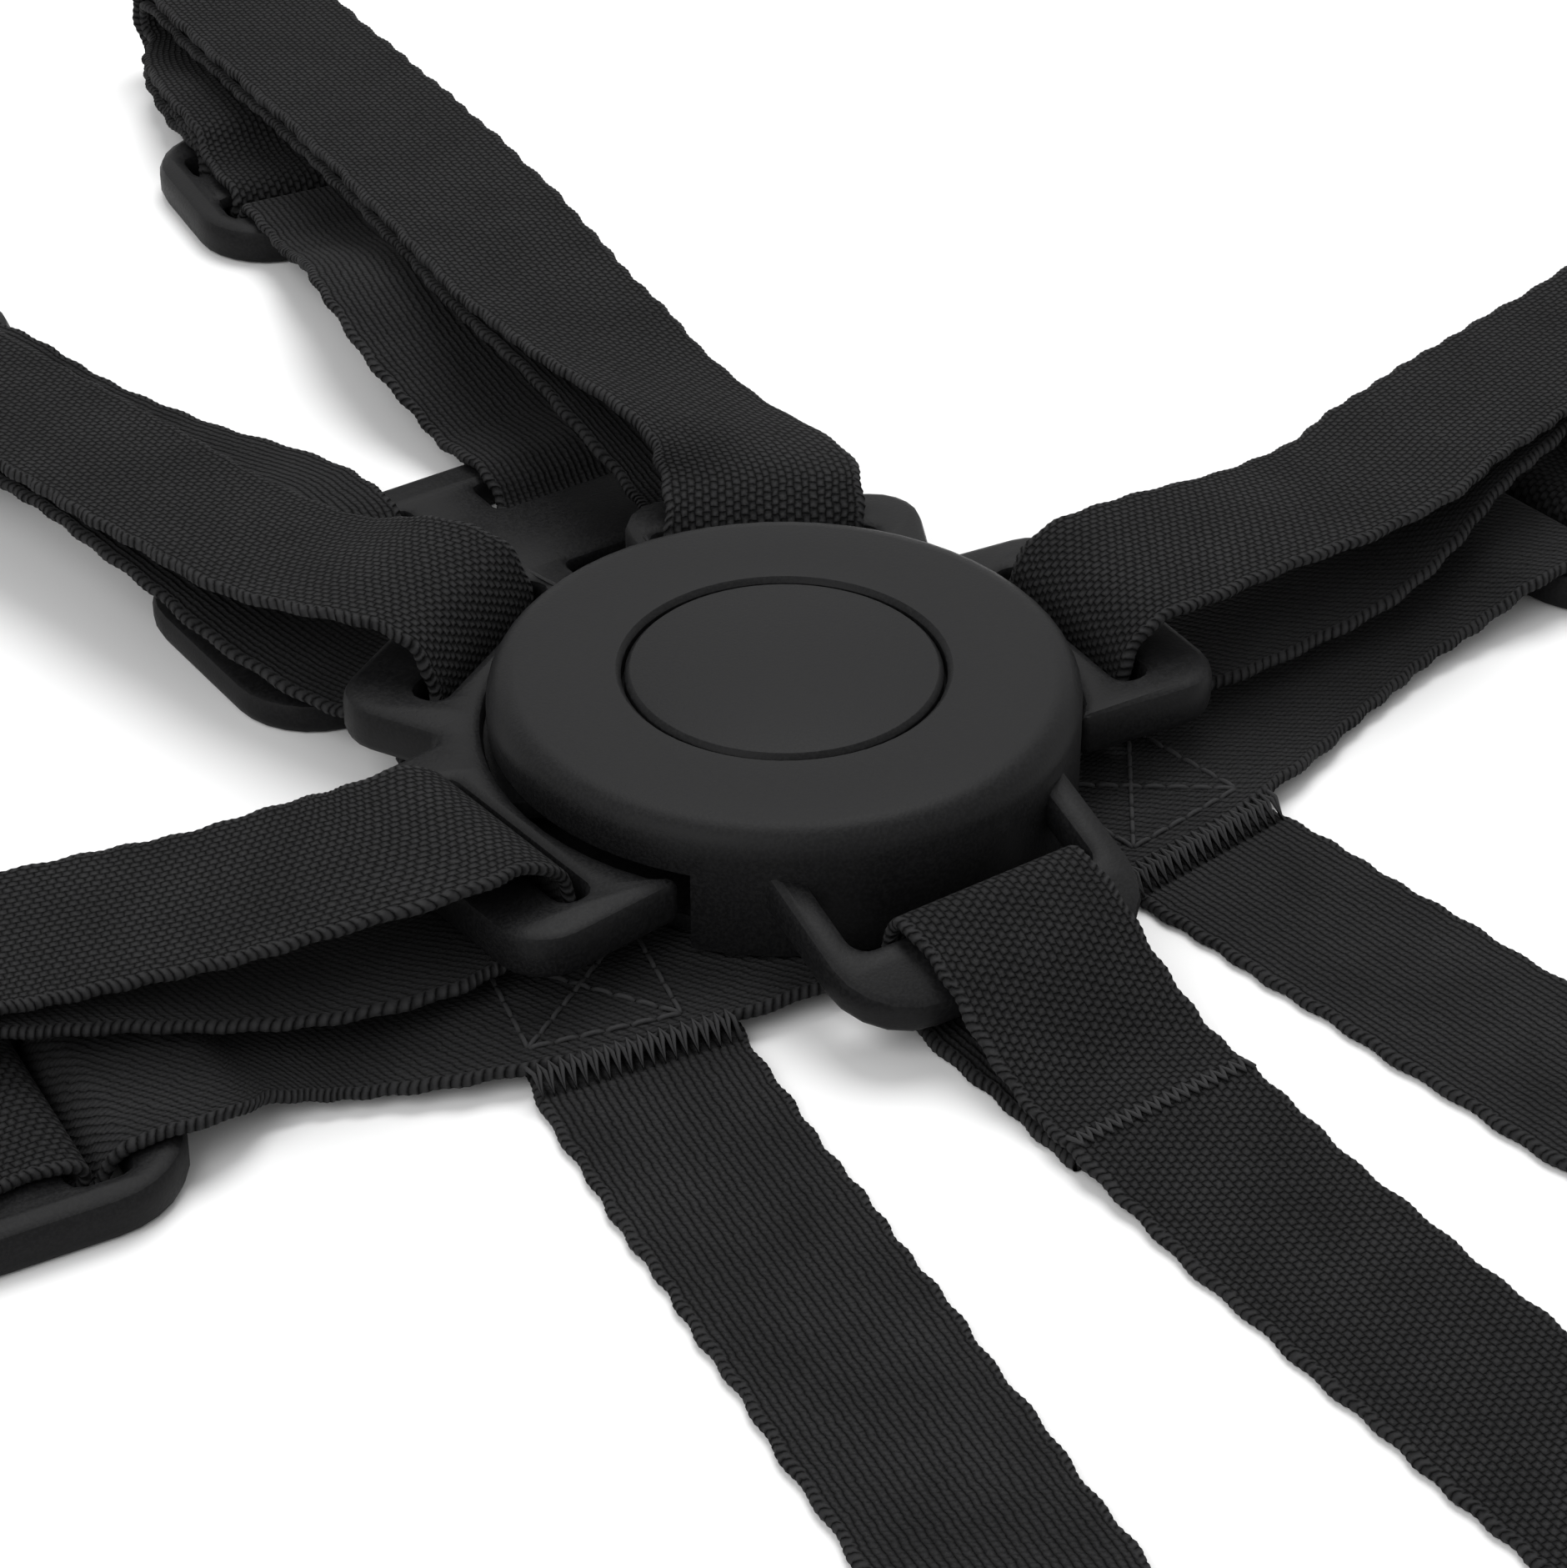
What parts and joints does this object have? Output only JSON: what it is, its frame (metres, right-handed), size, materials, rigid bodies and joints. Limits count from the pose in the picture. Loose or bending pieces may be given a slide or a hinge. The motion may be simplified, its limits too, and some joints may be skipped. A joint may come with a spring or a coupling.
{
  "type": "five-point harness",
  "caption": "Five-point child-seat harness: round push-button buckle, plug-in tongues, doubled webbing straps, strap sliders, back yoke and screw-down strap anchors.",
  "frame": {"origin": "centre of the buckle's flat back", "axes": "+Z out through the buckle's push button, +Y to the shoulder straps, -Y along the crotch strap, +X to the right waist strap as seen from above with the shoulders up"},
  "size_m": [0.3526, 0.4414, 0.0232],
  "materials": {
    "housing_cover": "fine grain",
    "base_plate": "fine grain",
    "release_button": "fine grain",
    "left_tongue": "fine grain",
    "right_tongue": "fine grain",
    "left_waist_slider": "fine grain",
    "right_waist_slider": "fine grain",
    "left_shoulder_slider": "fine grain",
    "right_shoulder_slider": "fine grain",
    "back_yoke": "fine grain",
    "left_tail_anchor": "fine grain",
    "right_tail_anchor": "fine grain",
    "crotch_anchor": "fine grain",
    "cover_screw_front_left": "plain",
    "cover_screw_front_right": "plain",
    "cover_screw_rear": "plain",
    "left_catch_rivet": "plain",
    "right_catch_rivet": "plain",
    "button_spring": "plain",
    "left_catch_spring": "plain",
    "right_catch_spring": "plain",
    "waist_strap": "woven webbing",
    "left_shoulder_strap": "woven webbing",
    "right_shoulder_strap": "woven webbing",
    "crotch_strap": "woven webbing"
  },
  "bodies": {
    "harness": {"housing_cover": "housing_cover", "base_plate": "base_plate", "left_tail_anchor": "left_tail_anchor", "right_tail_anchor": "right_tail_anchor", "crotch_anchor": "crotch_anchor", "cover_screw_front_left": "cover_screw_front_left", "cover_screw_front_right": "cover_screw_front_right", "cover_screw_rear": "cover_screw_rear", "left_catch_rivet": "left_catch_rivet", "right_catch_rivet": "right_catch_rivet", "button_spring": "button_spring", "left_catch_spring": "left_catch_spring", "right_catch_spring": "right_catch_spring", "waist_strap": "waist_strap", "left_shoulder_strap": "left_shoulder_strap", "right_shoulder_strap": "right_shoulder_strap", "crotch_strap": "crotch_strap"},
    "release_button_body": {"release_button": "release_button"},
    "left_tongue_body": {"left_tongue": "left_tongue"},
    "right_tongue_body": {"right_tongue": "right_tongue"},
    "left_waist_slider_body": {"left_waist_slider": "left_waist_slider"},
    "right_waist_slider_body": {"right_waist_slider": "right_waist_slider"},
    "left_shoulder_slider_body": {"left_shoulder_slider": "left_shoulder_slider"},
    "right_shoulder_slider_body": {"right_shoulder_slider": "right_shoulder_slider"},
    "back_yoke_body": {"back_yoke": "back_yoke"}
  },
  "joints": [
    {"name": "button_press", "type": "slide", "parent": "harness", "child": "release_button_body", "axis": [0, 0, -1], "range_m": [0, 0.003], "stiffness_N_per_m": 900, "springref_m": -0.002, "deforming": ["button_spring", "left_catch_spring", "right_catch_spring"]},
    {"name": "left_tongue_release", "type": "slide", "parent": "harness", "child": "left_tongue_body", "axis": [-0.887, 0.4617, 0], "range_m": [0, 0.022], "deforming": ["left_catch_spring", "waist_strap", "left_shoulder_strap"]},
    {"name": "right_tongue_release", "type": "slide", "parent": "harness", "child": "right_tongue_body", "axis": [0.887, 0.4617, 0], "range_m": [0, 0.022], "deforming": ["right_catch_spring", "waist_strap", "right_shoulder_strap"]},
    {"name": "left_waist_adjust", "type": "slide", "parent": "harness", "child": "left_waist_slider_body", "axis": [-0.9945, 0.1045, 0], "range_m": [-0.012, 0.012], "deforming": ["waist_strap"]},
    {"name": "right_waist_adjust", "type": "slide", "parent": "harness", "child": "right_waist_slider_body", "axis": [0.9976, 0.0698, 0], "range_m": [-0.012, 0.012], "deforming": ["waist_strap"]},
    {"name": "left_shoulder_adjust", "type": "slide", "parent": "harness", "child": "left_shoulder_slider_body", "axis": [-0.342, 0.9397, 0], "range_m": [-0.012, 0.012], "deforming": ["left_shoulder_strap"]},
    {"name": "right_shoulder_adjust", "type": "slide", "parent": "harness", "child": "right_shoulder_slider_body", "axis": [0.1392, 0.9903, 0], "range_m": [-0.012, 0.012], "deforming": ["right_shoulder_strap"]},
    {"name": "yoke_adjust", "type": "slide", "parent": "harness", "child": "back_yoke_body", "axis": [0, 1, 0], "range_m": [-0.008, 0.012], "deforming": ["left_shoulder_strap", "right_shoulder_strap"]}
  ]
}
